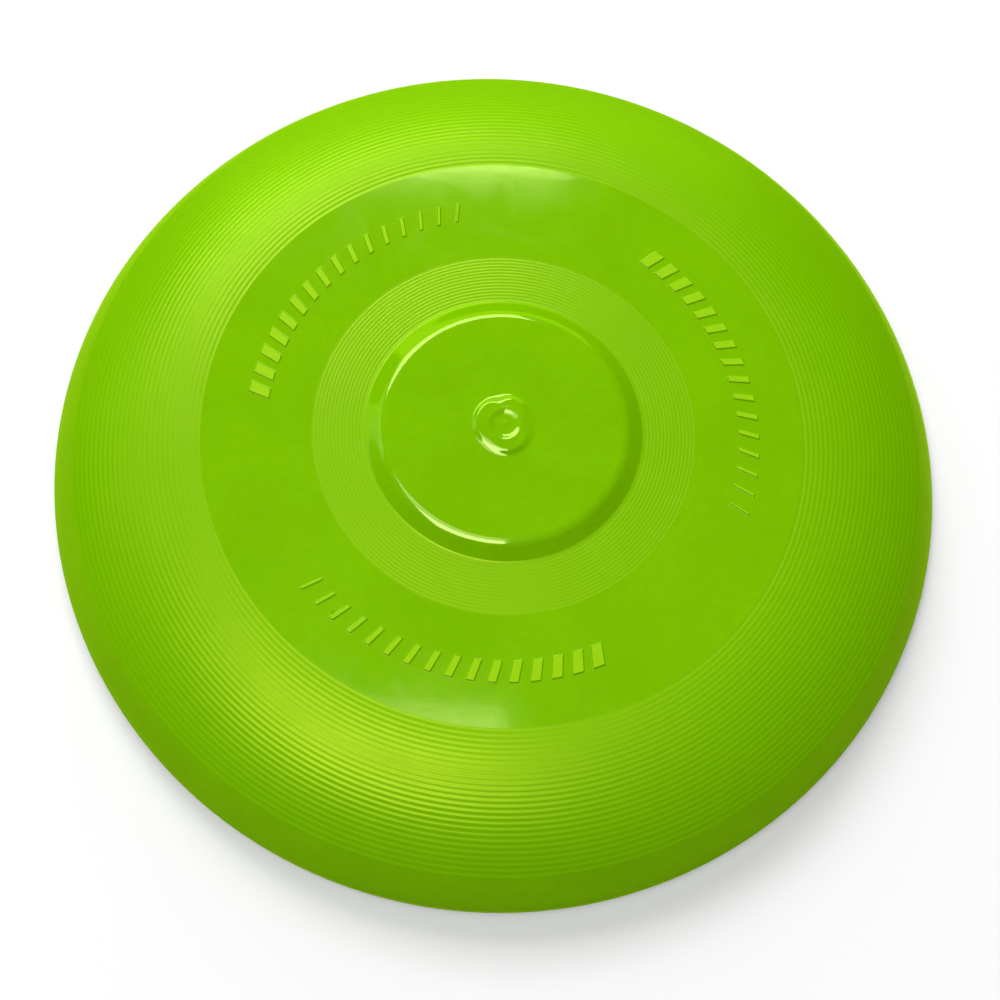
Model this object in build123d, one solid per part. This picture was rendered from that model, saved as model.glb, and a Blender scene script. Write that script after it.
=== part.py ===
from build123d import *
import math
import os

# A throwing disc, moulded in one shot from soft polyethylene.
# Millimetres, +Z up, origin under the centre of the disc on the surface it rests on.
# Every profile point is (radius, height), and the shell is that profile turned about Z.

# ---- overall size ----
disc_diameter = 235.0
plate_height = 28.5            # height of the skin at the first flight ring
wall = 1.8                     # flight plate and shoulder

# ---- flight plate: a very flat dome ----
dome_radius = 3000.0

# ---- shoulder: the curved band that carries the outer flight rings ----
outer_ring_count = 26
outer_ring_start = 77.4        # radius of the innermost ring
outer_ring_pitch = 1.3
outer_ring_width = 1.0
outer_ring_depth = 0.1
shoulder_radius = 61.5
ring_run_out = 0.65            # plain skin kept outside the last ring

# ---- inner flight rings, between the plateau and the smooth band ----
inner_ring_count = 14
inner_ring_start = 36.4
inner_ring_pitch = 0.92
inner_ring_width = 0.7
inner_ring_depth = 0.06

# ---- rim: an edge under the last ring, a steep face and a bead at the widest point ----
rim_edge_round = 1.5
rim_face_slope = math.radians(52)       # where the face starts, from level
rim_bead_slope = math.radians(66)       # where the face runs into the bead
rim_bead_radius = 7.5
cove_slope = math.radians(30)           # where the inside starts to turn down to the lip

# ---- lip ----
lip_wall = 3.4
lip_outer_round = 1.5
lip_inner_round = 0.8

# ---- raised plateau in the middle ----
plateau_base_radius = 35.8
plateau_flat_radius = 29.6
plateau_height = 2.7
plateau_round = 5.0
plateau_base_fillet = 1.5

# ---- gate nub: a low dimpled mound, left where the plastic is injected ----
nub_profile = [(0.0, 0.4), (2.2, 0.5), (4.3, 0.85), (6.4, 0.7), (8.6, 0.0)]

# ---- raised stripes, three runs of slanted bars on the smooth band ----
run_count = 3
run_centre_angle = 16.25       # azimuth of the middle of the first run
run_span_angle = 70.0
stripes_per_run = 16
stripe_inner_radius = 60.1
stripe_outer_radius = 65.7
stripe_widest = 3.2
stripe_narrowest = 0.9
stripe_slant = 1.5             # how far the outer end leans clockwise
stripe_relief = 0.35
stripe_root = 0.5              # how deep a stripe reaches into the skin

# ---- worked out from the sizes above ----
rim_radius = disc_diameter / 2
dome_centre = plate_height - math.sqrt(dome_radius**2 - outer_ring_start**2)
start_angle = math.asin(outer_ring_start / dome_radius)
shoulder_centre = (
    outer_ring_start - shoulder_radius * math.sin(start_angle),
    plate_height - shoulder_radius * math.cos(start_angle),
)
rim_start = outer_ring_start + (outer_ring_count - 1) * outer_ring_pitch + ring_run_out
rim_slope = math.asin((rim_start - shoulder_centre[0]) / shoulder_radius)


def dome_height(radius, depth=0.0):
    """Height of the flat dome, or of the surface that runs a depth below it."""
    return dome_centre + math.sqrt((dome_radius - depth) ** 2 - radius**2)


plateau_top = dome_height(plateau_base_radius) + plateau_height


def shoulder_height(radius):
    """Height of the outer skin on the shoulder arc."""
    across = radius - shoulder_centre[0]
    return shoulder_centre[1] + math.sqrt(shoulder_radius**2 - across**2)


def on_circle(centre, radius, angle):
    """Point of a circle, with the angle in radians from straight up, towards the rim."""
    return (centre[0] + radius * math.sin(angle), centre[1] + radius * math.cos(angle))


def arc(centre, radius, start, end):
    """Arc of that circle from one such angle to another."""
    middle = (start + end) / 2
    return ThreePointArc(
        on_circle(centre, radius, start),
        on_circle(centre, radius, middle),
        on_circle(centre, radius, end),
    )


def polyline(points):
    return [Line(a, b) for a, b in zip(points, points[1:])]


def ring_grooves(radii, width, depth, height):
    """Edge, floor and edge of each V groove in a band, from the inside out."""
    points = []
    for centre in radii:
        inner = centre - width / 2
        outer = centre + width / 2
        points.append((inner, height(inner)))
        points.append((centre, height(centre) - depth))
        points.append((outer, height(outer)))
    return points


def plateau_edges(depth):
    """The plateau's flat top, rounded shoulder, slope and base fillet, a depth below the skin."""
    crown_centre = (plateau_flat_radius, plateau_top - plateau_round)
    base_angle = math.asin(plateau_base_radius / dome_radius)
    fillet_centre = on_circle((0.0, dome_centre), dome_radius + plateau_base_fillet, base_angle)
    run = fillet_centre[0] - crown_centre[0]
    drop = crown_centre[1] - fillet_centre[1]
    between = math.hypot(run, drop)
    slope = math.atan2(drop, run) + math.asin((plateau_round + plateau_base_fillet) / between)
    crown = arc(crown_centre, plateau_round - depth, 0.0, slope)
    fillet = arc(
        fillet_centre, plateau_base_fillet + depth, math.pi + slope, math.pi + base_angle
    )
    flat = Line((nub_edge(depth), plateau_top - depth), crown @ 0)
    return [flat, crown, Line(crown @ 1, fillet @ 0), fillet]


def nub_edge(depth):
    """The flat top starts at the nub on the skin, and at the axis underneath."""
    return nub_profile[-1][0] if depth == 0.0 else 0.0


def rim_edges():
    """The rounded edge outside the last ring, the steep face, and the bead down to its middle."""
    bead_centre_radius = rim_radius - rim_bead_radius
    face_end = bead_centre_radius + rim_bead_radius * math.sin(rim_bead_slope)
    edge_centre = on_circle(shoulder_centre, shoulder_radius - rim_edge_round, rim_slope)
    edge = arc(edge_centre, rim_edge_round, rim_slope, rim_face_slope)
    face_start = on_circle(edge_centre, rim_edge_round, rim_face_slope)
    face_radius = (face_end - face_start[0]) / (math.sin(rim_bead_slope) - math.sin(rim_face_slope))
    face_centre = on_circle(edge_centre, rim_edge_round - face_radius, rim_face_slope)
    face = arc(face_centre, face_radius, rim_face_slope, rim_bead_slope)
    bead_centre = on_circle(face_centre, face_radius - rim_bead_radius, rim_bead_slope)
    bead = arc(bead_centre, rim_bead_radius, rim_bead_slope, math.pi / 2)
    return [edge, face, bead]


def skin_edges():
    """The outer skin, from the axis to the widest point of the rim."""
    nub_points = [(r, plateau_top + h) for r, h in nub_profile]
    nub = Spline(nub_points, tangents=[(1, 0), (1, 0)])
    plateau = plateau_edges(0.0)
    inner_radii = [inner_ring_start + i * inner_ring_pitch for i in range(inner_ring_count)]
    inner_rings = ring_grooves(inner_radii, inner_ring_width, inner_ring_depth, dome_height)
    outer_radii = [outer_ring_start + i * outer_ring_pitch for i in range(outer_ring_count)]
    outer_rings = ring_grooves(
        outer_radii,
        outer_ring_width,
        outer_ring_depth,
        lambda r: dome_height(r) if r < outer_ring_start else shoulder_height(r),
    )
    smooth_band = ThreePointArc(
        inner_rings[-1],
        (stripe_inner_radius, dome_height(stripe_inner_radius)),
        outer_rings[0],
    )
    run_out = arc(
        shoulder_centre,
        shoulder_radius,
        math.asin((outer_rings[-1][0] - shoulder_centre[0]) / shoulder_radius),
        rim_slope,
    )
    return (
        [nub]
        + plateau
        + polyline([plateau[-1] @ 1] + inner_rings)
        + [smooth_band]
        + polyline(outer_rings)
        + [run_out]
        + rim_edges()
    )


def lip_edges(widest_point):
    """The rolled lip: down the outside, round to the flat it rests on, and up the inside."""
    inner_wall = rim_radius - lip_wall
    outer_round = arc(
        (rim_radius - lip_outer_round, lip_outer_round), lip_outer_round, math.pi / 2, math.pi
    )
    inner_round = arc(
        (inner_wall + lip_inner_round, lip_inner_round), lip_inner_round, math.pi, 3 * math.pi / 2
    )
    return [
        Line(widest_point, outer_round @ 0),
        outer_round,
        Line(outer_round @ 1, inner_round @ 0),
        inner_round,
    ]


def underside_edges(lip_top):
    """The underside, from the lip back to the axis, drawn from the axis outwards."""
    plateau = plateau_edges(wall)
    plate = ThreePointArc(
        plateau[-1] @ 1,
        (stripe_inner_radius, dome_height(stripe_inner_radius, wall)),
        on_circle((0.0, dome_centre), dome_radius - wall, start_angle),
    )
    shoulder = arc(shoulder_centre, shoulder_radius - wall, start_angle, cove_slope)
    inner_wall = rim_radius - lip_wall
    meeting = on_circle(shoulder_centre, shoulder_radius - wall, cove_slope)
    cove_radius = (inner_wall - meeting[0]) / (1 - math.sin(cove_slope))
    cove_centre = (inner_wall - cove_radius, meeting[1] - cove_radius * math.cos(cove_slope))
    cove = arc(cove_centre, cove_radius, cove_slope, math.pi / 2)
    return plateau + [plate, shoulder, cove, Line(cove @ 1, lip_top)]


def turned(edges):
    """The closed profile in the XZ plane, turned a full circle about Z."""
    face = Plane.XZ * make_face(edges)
    return revolve(face, axis=Axis.Z)


def shell_body():
    skin = skin_edges()
    lip = lip_edges(skin[-1] @ 1)
    underside = underside_edges(lip[-1] @ 1)
    axis_edge = Line(skin[0] @ 0, underside[0] @ 0)
    return turned(skin + lip + underside + [axis_edge])


def stripe_layer():
    """A thin ring that follows the skin, as thick as a stripe is tall and deep."""
    inner = stripe_inner_radius
    outer = stripe_outer_radius
    top = polyline(
        [
            (inner, dome_height(inner) + stripe_relief),
            (outer, dome_height(outer) + stripe_relief),
            (outer, dome_height(outer) - stripe_root),
            (inner, dome_height(inner) - stripe_root),
            (inner, dome_height(inner) + stripe_relief),
        ]
    )
    return turned(top)


def polar(radius, angle):
    return (radius * math.cos(angle), radius * math.sin(angle))


def stripe_prism(angle, width):
    """An upright slanted bar, longer than the layer is wide, to be trimmed by the layer."""
    corners = []
    for radius, side in (
        (stripe_inner_radius - 1, -1),
        (stripe_inner_radius - 1, 1),
        (stripe_outer_radius + 1, 1),
        (stripe_outer_radius + 1, -1),
    ):
        middle = (stripe_inner_radius + stripe_outer_radius) / 2
        height = stripe_outer_radius - stripe_inner_radius
        lean = -stripe_slant * (radius - middle) / height
        corners.append(polar(radius, angle + (lean + side * width / 2) / radius))
    base = make_face(Polyline(*corners, close=True))
    return Pos(0, 0, plate_height - 3) * extrude(base, amount=6)


def stripes():
    """Three runs of bars that taper from wide to narrow, each as separate solids."""
    layer = stripe_layer()
    prisms = []
    for run in range(run_count):
        run_angle = run_centre_angle + run * 360 / run_count
        for i in range(stripes_per_run):
            share = i / (stripes_per_run - 1)
            angle = run_angle + (0.5 - share) * run_span_angle
            width = stripe_widest + (stripe_narrowest - stripe_widest) * share
            prisms.append(stripe_prism(math.radians(angle), width))
    return [layer & prism for prism in prisms]


def disc_shell():
    shell = shell_body()
    for bar in stripes():
        shell += bar
    return shell


os.makedirs("parts", exist_ok=True)
export_step(disc_shell(), "parts/disc_shell.step")
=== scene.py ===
"""The look of a moulded flying disc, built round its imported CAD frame.

The disc is one moulding, so it is one closed mesh: a profile turned about Z, with the raised
stripes and the gate nub in the same skin. Lengths in the profile are in millimetres.
"""

import math

import bpy
from mathutils import Matrix, Quaternion, Vector


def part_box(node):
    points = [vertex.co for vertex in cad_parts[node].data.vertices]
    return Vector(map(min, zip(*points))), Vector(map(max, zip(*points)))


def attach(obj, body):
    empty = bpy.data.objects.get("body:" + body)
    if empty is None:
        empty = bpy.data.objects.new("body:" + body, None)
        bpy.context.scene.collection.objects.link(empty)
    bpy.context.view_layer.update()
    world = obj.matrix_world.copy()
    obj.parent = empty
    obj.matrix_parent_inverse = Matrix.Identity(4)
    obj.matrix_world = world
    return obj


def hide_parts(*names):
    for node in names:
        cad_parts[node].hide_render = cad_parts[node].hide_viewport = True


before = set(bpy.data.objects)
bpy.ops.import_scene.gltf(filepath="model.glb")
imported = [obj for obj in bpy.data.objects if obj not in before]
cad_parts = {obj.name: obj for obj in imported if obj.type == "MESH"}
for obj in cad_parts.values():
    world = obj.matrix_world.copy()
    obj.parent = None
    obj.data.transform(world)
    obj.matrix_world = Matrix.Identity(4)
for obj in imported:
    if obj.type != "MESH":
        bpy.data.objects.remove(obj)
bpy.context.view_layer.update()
lowest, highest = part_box("disc_shell")

MM = 0.001
RIM_RADIUS = highest.x / MM

# ---- the shell, as it is in the CAD ----
PLATE_HEIGHT = 28.5
WALL = 1.8
DOME_RADIUS = 3000.0
OUTER_RING_COUNT = 26
OUTER_RING_START = 77.4
OUTER_RING_PITCH = 1.3
SHOULDER_RADIUS = 61.5
RING_RUN_OUT = 0.65
INNER_RING_COUNT = 14
INNER_RING_START = 36.4
INNER_RING_PITCH = 0.92
RIM_EDGE_ROUND = 1.5
RIM_FACE_SLOPE = math.radians(52)
RIM_BEAD_SLOPE = math.radians(66)
RIM_BEAD_RADIUS = 7.5
COVE_SLOPE = math.radians(30)
LIP_WALL = 3.4
LIP_OUTER_ROUND = 1.5
LIP_INNER_ROUND = 0.8
PLATEAU_BASE_RADIUS = 35.8
PLATEAU_FLAT_RADIUS = 29.6
PLATEAU_HEIGHT = 2.7
PLATEAU_ROUND = 5.0
PLATEAU_BASE_FILLET = 1.5

# ---- flight rings as moulded: soft troughs, not knife cuts ----
OUTER_RING_DEPTH = 0.07
INNER_RING_DEPTH = 0.04

# ---- gate nub: a mound with a lip round a dimple, and a pip in the middle ----
NUB_RADIUS = 8.5
NUB_RELIEF = 0.7
NUB_FLANK = 1.4
# where the flank is gentler: direction and spread in degrees, and how much wider it is
NUB_SWELLINGS = [(232, 34, 1.6), (102, 16, 1.6), (0, 45, 2.4)]
NUB_LIP_RADIUS = 4.3
NUB_LIP_SPREAD = 0.55
NUB_LIP_RELIEF = 0.08
DIMPLE_RADIUS = 4.1
DIMPLE_FLOOR = 2.6
DIMPLE_DEPTH = 0.3
PIP_RADIUS = 1.5
PIP_TOP = 0.2
PIP_RELIEF = 0.1

# ---- stripes: runs of slanted bars, with the angles of a run in degrees ----
RUN_COUNT = 3
RUN_CENTRE = 16.25
RUN_SPAN = 70.0
STRIPES_PER_RUN = 16
STRIPE_INNER = 60.1
STRIPE_OUTER = 65.7
STRIPE_WIDEST = 3.2
STRIPE_NARROWEST = 0.9
STRIPE_SLANT = 1.5
STRIPE_RELIEF = 0.3
# how a stripe's side rises: distance in from its foot, share of the relief
STRIPE_SIDE = [(-0.1, 0.0), (0.0, 0.0), (0.07, 0.35), (0.15, 0.8), (0.27, 1.0), (0.38, 1.0)]

# ---- mesh: columns round the axis, rows per feature, and radii of the plain rows ----
COLUMNS = 200
NUB_ROWS = 30
ROWS_PER_RING = 6
FILLET_ROWS = 6
PLATEAU_ROWS = (9.4, 14.0, 20.0, 26.0, 28.8)
INNER_SMOOTH_ROWS = (49.0, 51.5, 55.0, 58.0, 59.4)
OUTER_SMOOTH_ROWS = (66.4, 68.0, 71.0, 74.0, 76.0, 76.6)
UNDERSIDE_ROWS = (22.0, 14.0, 7.0, 2.5)

# ---- how frosted the mould leaves each stretch of skin: 0 is polished; it also places the painted shade and sheen ----
RING_FROST = 0.5
STRIPE_FROST = 1.0
UNDERSIDE_FROST = 0.7

# ---- plastic: colours of its mass, a painted shade for the rings, a painted sheen for the stripes, and the tint of its gloss ----
DEEP_GREEN = (0.097, 0.247, 0.0, 1)
PALE_GREEN = (0.106, 0.265, 0.0, 1)
FLOW_GREEN = (0.114, 0.276, 0.0, 1)
GRAIN_GREEN = (0.089, 0.235, 0.0, 1)
# painted shade: a darker green for the frosted skin, the flight rings among it
RING_SHADE_GREEN = (0.087, 0.234, 0.0, 1)
# painted sheen: a paler green for the frosted stripe tops, standing in for the light they catch
STRIPE_SHEEN_GREEN = (0.149, 0.314, 0.0, 1)
SPECK_GREEN = (0.03, 0.1, 0.0, 1)
POLISHED_TINT = (0.95, 1.0, 0.4, 1)
FROSTED_TINT = (0.88, 1.0, 0.07, 1)
GLANCING_TINT = (0.42, 0.75, 0.02, 1)
PLASTIC_IOR = 1.51
BUMP_DEPTH = 0.012

# ---- floor: metres across ----
FLOOR_SIZE = 30.0
FLOOR_GREY = (0.48, 0.48, 0.48, 1)

# ---- camera: place, point that it looks at, turn about its own axis, and lens ----
CAMERA_AT = (-21.1, -148.5, 407.9)
CAMERA_AIM = (-1.0, -18.9, 28.5)
CAMERA_ROLL = 9.3
CAMERA_LENS = 57.6
CAMERA_SENSOR = 36.0


# ---------------------------------------------------------------- profile

dome_centre = PLATE_HEIGHT - math.sqrt(DOME_RADIUS**2 - OUTER_RING_START**2)
start_angle = math.asin(OUTER_RING_START / DOME_RADIUS)
shoulder_centre = (
    OUTER_RING_START - SHOULDER_RADIUS * math.sin(start_angle),
    PLATE_HEIGHT - SHOULDER_RADIUS * math.cos(start_angle),
)
rim_start = OUTER_RING_START + (OUTER_RING_COUNT - 1) * OUTER_RING_PITCH + RING_RUN_OUT
rim_slope = math.asin((rim_start - shoulder_centre[0]) / SHOULDER_RADIUS)


def dome_height(radius, depth=0.0):
    """Height of the flat dome, or of the surface that runs a depth below it."""
    return dome_centre + math.sqrt((DOME_RADIUS - depth) ** 2 - radius**2)


plateau_top = dome_height(PLATEAU_BASE_RADIUS) + PLATEAU_HEIGHT


def skin_height(radius):
    """Height of the plate and shoulder, without rings."""
    if radius <= OUTER_RING_START:
        return dome_height(radius)
    across = radius - shoulder_centre[0]
    return shoulder_centre[1] + math.sqrt(SHOULDER_RADIUS**2 - across**2)


def on_circle(centre, radius, angle):
    """Point of a circle, with the angle in radians from straight up, towards the rim."""
    return (centre[0] + radius * math.sin(angle), centre[1] + radius * math.cos(angle))


def arc_points(centre, radius, start, end, count):
    """Points of that circle from one such angle to another."""
    return [
        on_circle(centre, radius, start + (end - start) * i / count) for i in range(count + 1)
    ]


def line_points(start, end, count):
    """Points after start up to end."""
    return [
        (
            start[0] + (end[0] - start[0]) * i / count,
            start[1] + (end[1] - start[1]) * i / count,
        )
        for i in range(1, count + 1)
    ]


def plateau_points(depth, rows):
    """Rounded shoulder, slope and base fillet of the plateau, a depth below the skin."""
    crown_centre = (PLATEAU_FLAT_RADIUS, plateau_top - PLATEAU_ROUND)
    base_angle = math.asin(PLATEAU_BASE_RADIUS / DOME_RADIUS)
    reach = DOME_RADIUS + PLATEAU_BASE_FILLET
    fillet_centre = on_circle((0.0, dome_centre), reach, base_angle)
    run = fillet_centre[0] - crown_centre[0]
    drop = crown_centre[1] - fillet_centre[1]
    tangent = math.asin((PLATEAU_ROUND + PLATEAU_BASE_FILLET) / math.hypot(run, drop))
    slope = math.atan2(drop, run) + tangent
    crown = arc_points(crown_centre, PLATEAU_ROUND - depth, 0.0, slope, rows)
    fillet = arc_points(
        fillet_centre,
        PLATEAU_BASE_FILLET + depth,
        math.pi + slope,
        math.pi + base_angle,
        max(3, rows // 2),
    )
    return crown + line_points(crown[-1], fillet[0], 3)[:-1] + fillet


def ring_rows(count, start, pitch, depth):
    """A band of soft troughs, each one pitch wide, with a rounded crest between two."""
    rows = []
    first = start - pitch / 2
    for i in range(count * ROWS_PER_RING + 1):
        radius = first + i * pitch / ROWS_PER_RING
        wave = 0.5 - 0.5 * math.cos(2 * math.pi * i / ROWS_PER_RING)
        rows.append((radius, skin_height(radius) - depth * wave))
    return rows


def rim_rows():
    """The edge outside the last ring, the steep face, the bead, and round the lip."""
    edge_centre = on_circle(shoulder_centre, SHOULDER_RADIUS - RIM_EDGE_ROUND, rim_slope)
    edge = arc_points(edge_centre, RIM_EDGE_ROUND, rim_slope, RIM_FACE_SLOPE, 4)
    bead_reach = RIM_BEAD_RADIUS * (1 - math.sin(RIM_BEAD_SLOPE))
    face_run = RIM_RADIUS - bead_reach - edge[-1][0]
    face_radius = face_run / (math.sin(RIM_BEAD_SLOPE) - math.sin(RIM_FACE_SLOPE))
    face_centre = on_circle(edge_centre, RIM_EDGE_ROUND - face_radius, RIM_FACE_SLOPE)
    face = arc_points(face_centre, face_radius, RIM_FACE_SLOPE, RIM_BEAD_SLOPE, 8)
    bead_centre = on_circle(face_centre, face_radius - RIM_BEAD_RADIUS, RIM_BEAD_SLOPE)
    bead = arc_points(bead_centre, RIM_BEAD_RADIUS, RIM_BEAD_SLOPE, math.pi / 2, 6)
    outer_centre = (RIM_RADIUS - LIP_OUTER_ROUND, LIP_OUTER_ROUND)
    outer = arc_points(outer_centre, LIP_OUTER_ROUND, math.pi / 2, math.pi, 6)
    inner_centre = (RIM_RADIUS - LIP_WALL + LIP_INNER_ROUND, LIP_INNER_ROUND)
    inner = arc_points(inner_centre, LIP_INNER_ROUND, math.pi, 1.5 * math.pi, 5)
    return edge[1:] + face[1:] + bead[1:] + outer + inner


def underside_rows():
    """The underside, from the lip in to the axis."""
    inner_wall = RIM_RADIUS - LIP_WALL
    meeting = on_circle(shoulder_centre, SHOULDER_RADIUS - WALL, COVE_SLOPE)
    cove_radius = (inner_wall - meeting[0]) / (1 - math.sin(COVE_SLOPE))
    cove_centre = (inner_wall - cove_radius, meeting[1] - cove_radius * math.cos(COVE_SLOPE))
    cove = arc_points(cove_centre, cove_radius, math.pi / 2, COVE_SLOPE, 12)
    shoulder = arc_points(shoulder_centre, SHOULDER_RADIUS - WALL, COVE_SLOPE, start_angle, 14)
    plateau = plateau_points(WALL, 8)
    plate_start = shoulder[-1][0]
    plate_end = plateau[-1][0]
    plate = []
    for i in range(1, 9):
        radius = plate_start + (plate_end - plate_start) * i / 9
        plate.append((radius, dome_height(radius, WALL)))
    flat = [(r, plateau_top - WALL) for r in UNDERSIDE_ROWS]
    return cove + shoulder[1:] + plate + plateau[::-1] + flat


# ---------------------------------------------------------------- gate nub

def smooth(edge_low, edge_high, value):
    """A smooth step from 0 at edge_low to 1 at edge_high, which may be the lower number."""
    share = min(1.0, max(0.0, (value - edge_low) / (edge_high - edge_low)))
    return share * share * (3 - 2 * share)


def swelling(angle, towards, spread):
    """1 in one direction from the middle, fading to 0 on both sides of it."""
    apart = math.remainder(angle - math.radians(towards), 2 * math.pi)
    return math.exp(-((apart / math.radians(spread)) ** 2))


def nub_height(radius, angle):
    """Relief of the gate nub: a low mound with uneven flanks, dimpled in the middle."""
    flank = NUB_FLANK
    for towards, spread, wider in NUB_SWELLINGS:
        flank += wider * swelling(angle, towards, spread)
    mound = smooth(NUB_RADIUS, NUB_RADIUS - flank, radius) * NUB_RELIEF
    lip = NUB_LIP_RELIEF * math.exp(-(((radius - NUB_LIP_RADIUS) / NUB_LIP_SPREAD) ** 2))
    dimple = smooth(DIMPLE_RADIUS, DIMPLE_FLOOR, radius) * DIMPLE_DEPTH
    pip = smooth(PIP_RADIUS, PIP_TOP, radius) * PIP_RELIEF
    return mound + lip - dimple + pip


# ---------------------------------------------------------------- mesh

class Lathe:
    """Collects rings of points round the axis and the faces between them."""

    def __init__(self):
        self.points = []
        self.frost = []
        self.faces = []
        self.last = None

    def ring(self, places, frost=0.0):
        """places are (radius, angle, height), in order of angle; frost is one number or a list."""
        start = len(self.points)
        self.frost += frost if isinstance(frost, list) else [frost] * len(places)
        for radius, angle, height in places:
            self.points.append(
                (radius * math.cos(angle) * MM, radius * math.sin(angle) * MM, height * MM)
            )
        ring = {"at": range(start, len(self.points)), "angles": [p[1] for p in places]}
        if self.last:
            self.join(self.last, ring)
        self.last = ring

    def join(self, inner, outer):
        if len(inner["at"]) == 1:
            self.fan(inner["at"][0], outer["at"])
        elif len(outer["at"]) == 1:
            self.fan(outer["at"][0], inner["at"][::-1])
        elif len(inner["at"]) == len(outer["at"]):
            self.band(inner["at"], outer["at"])
        else:
            self.zip(inner, outer)

    def fan(self, centre, ring):
        for i in range(len(ring)):
            self.faces.append((centre, ring[i], ring[(i + 1) % len(ring)]))

    def band(self, inner, outer):
        for i in range(len(inner)):
            j = (i + 1) % len(inner)
            self.faces.append((inner[i], outer[i], outer[j], inner[j]))

    def zip(self, inner, outer):
        """Triangles between two rings whose points don't line up."""
        a = b = 0
        count_a, count_b = len(inner["at"]), len(outer["at"])

        def angle(ring, i):
            count = len(ring["at"])
            return ring["angles"][i % count] + 2 * math.pi * (i // count)

        while a < count_a or b < count_b:
            step_out = a >= count_a or (
                b < count_b and angle(outer, b + 1) < angle(inner, a + 1)
            )
            here = inner["at"][a % count_a]
            there = outer["at"][b % count_b]
            if step_out:
                b += 1
                self.faces.append((here, there, outer["at"][b % count_b]))
            else:
                a += 1
                self.faces.append((here, there, inner["at"][a % count_a]))


def turned_ring(radius, height):
    """A plain ring; height is a number, or a function of the angle."""
    places = []
    for i in range(COLUMNS):
        angle = 2 * math.pi * i / COLUMNS
        places.append((radius, angle, height(angle) if callable(height) else height))
    return places


def stripe_columns():
    """(angle, level) of every column in the stripe band, sorted: each stripe's sides, and
    plain columns between the runs."""
    middle = (STRIPE_INNER + STRIPE_OUTER) / 2
    columns = []
    for run in range(RUN_COUNT):
        centre = math.radians(RUN_CENTRE + run * 360 / RUN_COUNT)
        span = math.radians(RUN_SPAN)
        for i in range(STRIPES_PER_RUN):
            share = i / (STRIPES_PER_RUN - 1)
            angle = centre + (0.5 - share) * span
            half = (STRIPE_WIDEST + (STRIPE_NARROWEST - STRIPE_WIDEST) * share) / 2
            for inwards, level in STRIPE_SIDE:
                if inwards < half:
                    columns.append((angle - (half - inwards) / middle, level))
                    columns.append((angle + (half - inwards) / middle, level))
        gap = 2 * math.pi / RUN_COUNT - span
        plain = int(gap * COLUMNS / (2 * math.pi))
        for i in range(2, plain - 1):
            columns.append((centre + span / 2 + gap * i / plain, 0.0))
    columns = [(angle % (2 * math.pi), level) for angle, level in columns]
    return sorted(columns)


def stripe_rows():
    """(radius, level) across the band, from the inside out."""
    inner = [(STRIPE_INNER + inwards, level) for inwards, level in STRIPE_SIDE]
    outer = [(STRIPE_OUTER - inwards, level) for inwards, level in STRIPE_SIDE[::-1]]
    middle = (STRIPE_INNER + STRIPE_OUTER) / 2
    return inner + [(middle, 1.0)] + outer


def stripe_ring(radius, row_level, columns):
    """The columns lean, so that every stripe slants the same way."""
    middle = (STRIPE_INNER + STRIPE_OUTER) / 2
    height = STRIPE_OUTER - STRIPE_INNER
    lean = -STRIPE_SLANT * (radius - middle) / height / radius
    base = dome_height(radius)
    return [
        (radius, angle + lean, base + STRIPE_RELIEF * row_level * level)
        for angle, level in columns
    ]


def turned_skin(lathe, rows, frost=0.0):
    for radius, height in rows:
        lathe.ring(turned_ring(radius, height), frost)


def nub(lathe):
    lathe.ring([(0.0, 0.0, plateau_top + nub_height(0.0, 0.0))])
    for i in range(1, NUB_ROWS + 1):
        radius = NUB_RADIUS * i / NUB_ROWS
        lathe.ring(turned_ring(radius, lambda a, r=radius: plateau_top + nub_height(r, a)))


def stripe_band(lathe):
    columns = stripe_columns()
    for radius, row_level in stripe_rows():
        frost = [STRIPE_FROST * (row_level * level > 0.99) for angle, level in columns]
        lathe.ring(stripe_ring(radius, row_level, columns), frost)


def plain_rows(radii):
    return [(r, skin_height(r)) for r in radii]


def disc_rings():
    """Every ring of the disc, from the gate nub out over the rim and back underneath."""
    lathe = Lathe()
    nub(lathe)
    turned_skin(lathe, [(r, plateau_top) for r in PLATEAU_ROWS])
    plateau = plateau_points(0.0, 2 * FILLET_ROWS)
    turned_skin(lathe, plateau[:-FILLET_ROWS])
    turned_skin(lathe, plateau[-FILLET_ROWS:], RING_FROST)
    inner_rings = ring_rows(
        INNER_RING_COUNT, INNER_RING_START, INNER_RING_PITCH, INNER_RING_DEPTH
    )
    turned_skin(lathe, inner_rings, RING_FROST)
    turned_skin(lathe, plain_rows(INNER_SMOOTH_ROWS))
    stripe_band(lathe)
    turned_skin(lathe, plain_rows(OUTER_SMOOTH_ROWS))
    outer_rings = ring_rows(
        OUTER_RING_COUNT, OUTER_RING_START, OUTER_RING_PITCH, OUTER_RING_DEPTH
    )
    turned_skin(lathe, outer_rings, RING_FROST)
    turned_skin(lathe, rim_rows())
    turned_skin(lathe, underside_rows(), UNDERSIDE_FROST)
    lathe.ring([(0.0, 0.0, plateau_top - WALL)], UNDERSIDE_FROST)
    return lathe


def build_disc():
    lathe = disc_rings()
    mesh = bpy.data.meshes.new("moulded_disc")
    mesh.from_pydata(lathe.points, [], lathe.faces)
    mesh.attributes.new("frost", "FLOAT", "POINT").data.foreach_set("value", lathe.frost)
    mesh.shade_smooth()
    disc = bpy.data.objects.new("moulded_disc", mesh)
    bpy.context.scene.collection.objects.link(disc)
    return disc


# ---------------------------------------------------------------- material

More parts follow.
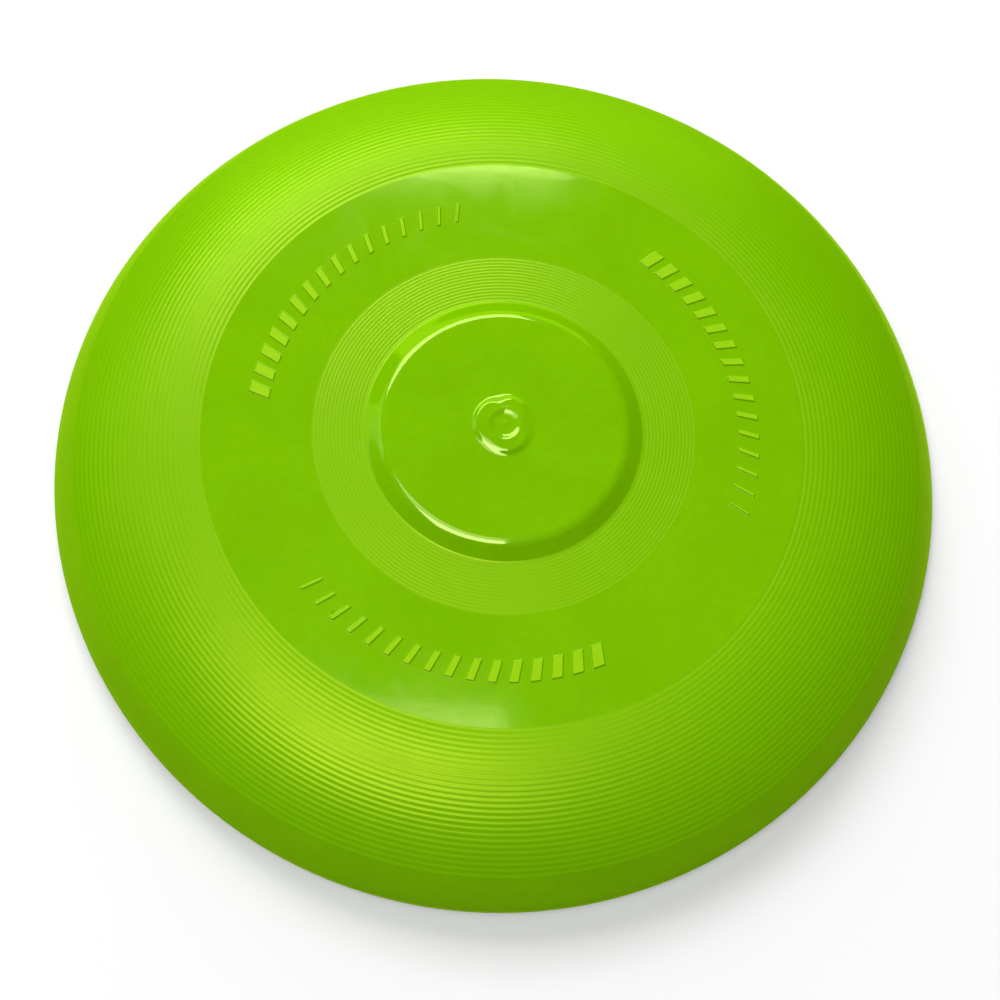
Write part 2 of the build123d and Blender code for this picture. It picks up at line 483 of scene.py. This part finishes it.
class Shading:
    """Adds nodes to one material; a socket given as a value is linked, any other value is set."""

    def __init__(self, name):
        self.material = bpy.data.materials.new(name)
        self.material.use_nodes = True
        self.tree = self.material.node_tree
        self.tree.nodes.clear()

    def add(self, kind, sockets, **settings):
        node = self.tree.nodes.new(kind)
        for name, value in settings.items():
            setattr(node, name, value)
        for name, value in sockets.items():
            if isinstance(value, bpy.types.NodeSocket):
                self.tree.links.new(value, node.inputs[name])
            else:
                node.inputs[name].default_value = value
        return node

    def noise(self, where, size, detail=2.0, distortion=0.0):
        """Noise with features of about that size, in millimetres."""
        sockets = {"Vector": where, "Scale": 1 / (size * MM), "Detail": detail}
        sockets["Distortion"] = distortion
        return self.add("ShaderNodeTexNoise", sockets).outputs["Fac"]

    def remap(self, value, low, high, to_low=0.0, to_high=1.0):
        """A smooth step from to_low to to_high as the value goes from low to high."""
        sockets = {"Value": value, "From Min": low, "From Max": high}
        sockets["To Min"] = to_low
        sockets["To Max"] = to_high
        node = self.add("ShaderNodeMapRange", sockets, interpolation_type="SMOOTHSTEP")
        return node.outputs["Result"]

    def maths(self, operation, first, second=0.0):
        return self.add(
            "ShaderNodeMath", {0: first, 1: second}, operation=operation
        ).outputs["Value"]

    def vector(self, operation, first, second=(0.0, 0.0, 0.0)):
        return self.add("ShaderNodeVectorMath", {0: first, 1: second}, operation=operation)

    def blend(self, share, first, second):
        """One colour turning into another as share goes from 0 to 1."""
        sockets = {0: share, 6: first, 7: second}
        return self.add("ShaderNodeMix", sockets, data_type="RGBA").outputs[2]


def flow_lines(shading, where):
    """Faint streaks that run out from the gate, as the plastic flowed."""
    level = shading.vector("MULTIPLY", where, (1.0, 1.0, 0.0)).outputs["Vector"]
    outwards = shading.vector("NORMALIZE", level).outputs["Vector"]
    distance = shading.vector("LENGTH", level).outputs["Value"]
    along = shading.add("ShaderNodeCombineXYZ", {"Z": distance}).outputs["Vector"]
    around = shading.vector("MULTIPLY", outwards, (0.1, 0.1, 0.1)).outputs["Vector"]
    place = shading.vector("ADD", around, along).outputs["Vector"]
    return shading.noise(place, 9.0, 3.0, 0.6)


def hairlines(shading, where, turn, seed):
    """Fine scratches that all run one way, broken up so that few are long."""
    sockets = {"Vector": where, "Rotation": (0.0, 0.0, turn), "Scale": (1.0, 0.03, 1.0)}
    sockets["Location"] = (seed, 0.0, 0.0)
    turned = shading.add("ShaderNodeMapping", sockets).outputs["Vector"]
    wave = shading.noise(turned, 1.6, 1.0)
    off_middle = shading.maths("ABSOLUTE", shading.maths("SUBTRACT", wave, 0.5))
    line = shading.remap(off_middle, 0.0, 0.006, 1.0, 0.0)
    patches = shading.remap(shading.noise(turned, 24.0, 1.0), 0.56, 0.66)
    return shading.maths("MULTIPLY", line, patches)


def specks(shading, where, gap, share, size):
    """Dots of about that size in a share of the cells of a loose net."""
    sockets = {"Vector": where, "Scale": 1 / (gap * MM)}
    cells = shading.add("ShaderNodeTexVoronoi", sockets)
    dot = shading.remap(cells.outputs["Distance"], 0.4 * size / gap, 0.6 * size / gap, 1.0, 0.0)
    chance = shading.add("ShaderNodeSeparateColor", {"Color": cells.outputs["Color"]})
    chosen = shading.maths("LESS_THAN", chance.outputs["Red"], share)
    return shading.maths("MULTIPLY", dot, chosen)


def plastic_colour(shading, where, frost):
    """Mottled and streaked a little where it flowed, darker on the rings by painted shade, paler
    on the stripes by painted sheen.
    """
    mottle = shading.remap(shading.noise(where, 26.0, 3.0, 0.8), 0.3, 0.7)
    colour = shading.blend(mottle, DEEP_GREEN, PALE_GREEN)
    flow = shading.remap(flow_lines(shading, where), 0.45, 0.7, 0.0, 0.2)
    colour = shading.blend(flow, colour, FLOW_GREEN)
    grain = shading.remap(shading.noise(where, 1.8, 2.0), 0.35, 0.65, 0.0, 0.3)
    colour = shading.blend(grain, colour, GRAIN_GREEN)
    # painted shade: every frosted stretch of skin, the rings among them, is made darker
    ring_shade = shading.remap(frost, 0.0, RING_FROST, 0.0, 0.7)
    colour = shading.blend(ring_shade, colour, RING_SHADE_GREEN)
    # painted sheen: the frosted stripe tops are made paler
    frosted = shading.remap(frost, 0.9, 1.0, 0.0, 0.65)
    colour = shading.blend(frosted, colour, STRIPE_SHEEN_GREEN)
    dark_specks = specks(shading, where, 7.0, 0.05, 0.5)
    return shading.blend(shading.maths("MULTIPLY", dark_specks, 0.6), colour, SPECK_GREEN)


def plastic_roughness(shading, where, frost, scratches):
    """Rougher with frost, and a little more where it is smudged or scratched."""
    smudges = shading.remap(shading.noise(where, 14.0, 4.0, 1.2), 0.42, 0.68, 0.0, 0.03)
    roughness = shading.maths("ADD", smudges, shading.remap(frost, 0.0, 1.0, 0.07, 0.58))
    return shading.maths("ADD", roughness, shading.maths("MULTIPLY", scratches, 0.06))


def plastic_bump(shading, where, frost, scratches):
    """A slight orange peel, with sand where it is frosted, cut by the scratches."""
    peel = shading.noise(where, 3.2, 2.0)
    sand = shading.maths("MULTIPLY", shading.noise(where, 0.35, 2.0), frost)
    relief = shading.maths("ADD", peel, shading.maths("MULTIPLY", sand, 0.6))
    relief = shading.maths("SUBTRACT", relief, shading.maths("MULTIPLY", scratches, 0.08))
    sockets = {"Height": relief, "Distance": BUMP_DEPTH * MM, "Strength": 0.6}
    return shading.add("ShaderNodeBump", sockets).outputs["Normal"]


def glancing_finish(shading, finish):
    """Matt plastic under a mirror that keeps the plastic's colour, stronger at low angles."""
    roughness, bump = finish["Roughness"], finish["Normal"]
    matte = shading.add("ShaderNodeBsdfPrincipled", {**finish, "Specular IOR Level": 0.0})
    mirror = shading.add(
        "ShaderNodeBsdfGlossy", {"Color": GLANCING_TINT, "Roughness": roughness, "Normal": bump}
    )
    strength = shading.add("ShaderNodeFresnel", {"IOR": PLASTIC_IOR, "Normal": bump})
    sockets = {0: strength.outputs["Fac"], 1: matte.outputs[0], 2: mirror.outputs[0]}
    return shading.add("ShaderNodeMixShader", sockets).outputs[0]


def lime_plastic():
    """Glossy polyethylene, coloured in the mass and frosted on the rings and stripes, with painted
    shade and sheen.
    """
    shading = Shading("lime_plastic")
    where = shading.add("ShaderNodeTexCoord", {}).outputs["Object"]
    frost = shading.add("ShaderNodeAttribute", {}, attribute_name="frost").outputs["Fac"]
    scratches = shading.maths(
        "MAXIMUM", hairlines(shading, where, 0.5, 0.0), hairlines(shading, where, 2.1, 0.4)
    )
    finish = {
        "Base Color": plastic_colour(shading, where, frost),
        "Roughness": plastic_roughness(shading, where, frost, scratches),
        "Normal": plastic_bump(shading, where, frost, scratches),
        "IOR": PLASTIC_IOR,
    }
    tint = shading.blend(shading.remap(frost, 0.0, RING_FROST), POLISHED_TINT, FROSTED_TINT)
    plain = shading.add("ShaderNodeBsdfPrincipled", {**finish, "Specular Tint": tint})
    glancing = glancing_finish(shading, finish)
    facing = shading.add("ShaderNodeLayerWeight", {"Blend": 0.5}).outputs["Facing"]
    sockets = {0: shading.remap(facing, 0.05, 0.3), 1: plain.outputs[0], 2: glancing}
    surface = shading.add("ShaderNodeMixShader", sockets).outputs[0]
    shading.add("ShaderNodeOutputMaterial", {"Surface": surface})
    return shading.material


# ---------------------------------------------------------------- stage, light, camera

def flat_panel(name, size_x, size_y):
    """A level rectangle round the origin."""
    mesh = bpy.data.meshes.new(name)
    x, y = size_x / 2, size_y / 2
    mesh.from_pydata([(-x, -y, 0), (x, -y, 0), (x, y, 0), (-x, y, 0)], [], [(0, 1, 2, 3)])
    panel = bpy.data.objects.new(name, mesh)
    bpy.context.scene.collection.objects.link(panel)
    return panel


def floor():
    panel = flat_panel("floor", FLOOR_SIZE, FLOOR_SIZE)
    panel.location.z = lowest.z
    material = bpy.data.materials.new("pale_floor")
    material.use_nodes = True
    shader = material.node_tree.nodes["Principled BSDF"]
    shader.inputs["Base Color"].default_value = FLOOR_GREY
    shader.inputs["Roughness"].default_value = 0.8
    shader.inputs["Specular IOR Level"].default_value = 0.1
    panel.data.materials.append(material)


def softbox(name, direction, distance, size_x, size_y, brightness):
    """An area light in that direction from the disc, facing it, with its width along X."""
    light = bpy.data.lights.new(name, "AREA")
    light.shape = "RECTANGLE"
    light.size = size_x
    light.size_y = size_y
    light.energy = brightness * math.pi * size_x * size_y
    back = Vector(direction).normalized()
    side = (Vector((1, 0, 0)) - back * back.x).normalized()
    lamp = bpy.data.objects.new(name, light)
    lamp.matrix_world = (
        Matrix.Translation(back * distance)
        @ Matrix((side, back.cross(side), back)).transposed().to_4x4()
    )
    bpy.context.scene.collection.objects.link(lamp)
    return lamp


def lights():
    """Each light's name, direction, distance, width, depth and brightness."""
    softbox("overhead_panel", (-0.2, 0.01, 0.98), 4.0, 2.1, 1.02, 5.0)
    softbox("front_panel", (-0.2, -0.28, 0.94), 4.0, 2.1, 1.3, 15.0)
    softbox("back_panel", (-0.2, 0.692, 0.722), 4.0, 2.5, 1.44, 15.0)
    softbox("back_wall", (-0.05, 0.93, 0.35), 1.0, 1.25, 0.475, 2.8)
    softbox("left_fill", (-0.75, 0.36, 0.56), 4.0, 1.6, 2.0, 2.0)
    ceiling = softbox("ceiling", (0.1, -0.1, 0.98), 4.0, 4.0, 4.0, 1.15)
    # it lights the disc, but doesn't show in its gloss
    ceiling.visible_glossy = False
    studio()


def studio():
    """Faint light from all round, a little paler behind and beside the disc than in front."""
    world = bpy.data.worlds.new("studio")
    world.use_nodes = True
    tree = world.node_tree
    where = tree.nodes.new("ShaderNodeTexCoord").outputs["Generated"]
    split = tree.nodes.new("ShaderNodeSeparateXYZ")
    tree.links.new(where, split.inputs["Vector"])
    fade = tree.nodes.new("ShaderNodeMapRange")
    fade.interpolation_type = "SMOOTHSTEP"
    tree.links.new(split.outputs["Y"], fade.inputs["Value"])
    for name, value in (("From Min", -0.7), ("From Max", 0.2), ("To Min", 0.2), ("To Max", 0.5)):
        fade.inputs[name].default_value = value
    tree.links.new(fade.outputs["Result"], tree.nodes["Background"].inputs["Strength"])
    bpy.context.scene.world = world


def camera():
    """Above and in front of the disc, looking down, with the frame turned a little."""
    data = bpy.data.cameras.new("camera")
    data.sensor_width = CAMERA_SENSOR
    data.lens = CAMERA_LENS
    data.clip_start = 0.01
    data.clip_end = 20.0
    eye = bpy.data.objects.new("camera", data)
    eye.location = Vector(CAMERA_AT) * MM
    towards = (Vector(CAMERA_AIM) - Vector(CAMERA_AT)).to_track_quat("-Z", "Y")
    eye.rotation_mode = "QUATERNION"
    eye.rotation_quaternion = towards @ Quaternion((0, 0, 1), math.radians(CAMERA_ROLL))
    bpy.context.scene.collection.objects.link(eye)
    bpy.context.scene.camera = eye


disc = build_disc()
disc.data.materials.append(lime_plastic())
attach(disc, "root")
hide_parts("disc_shell")
floor()
lights()
camera()
bpy.context.scene.view_settings.view_transform = "Standard"
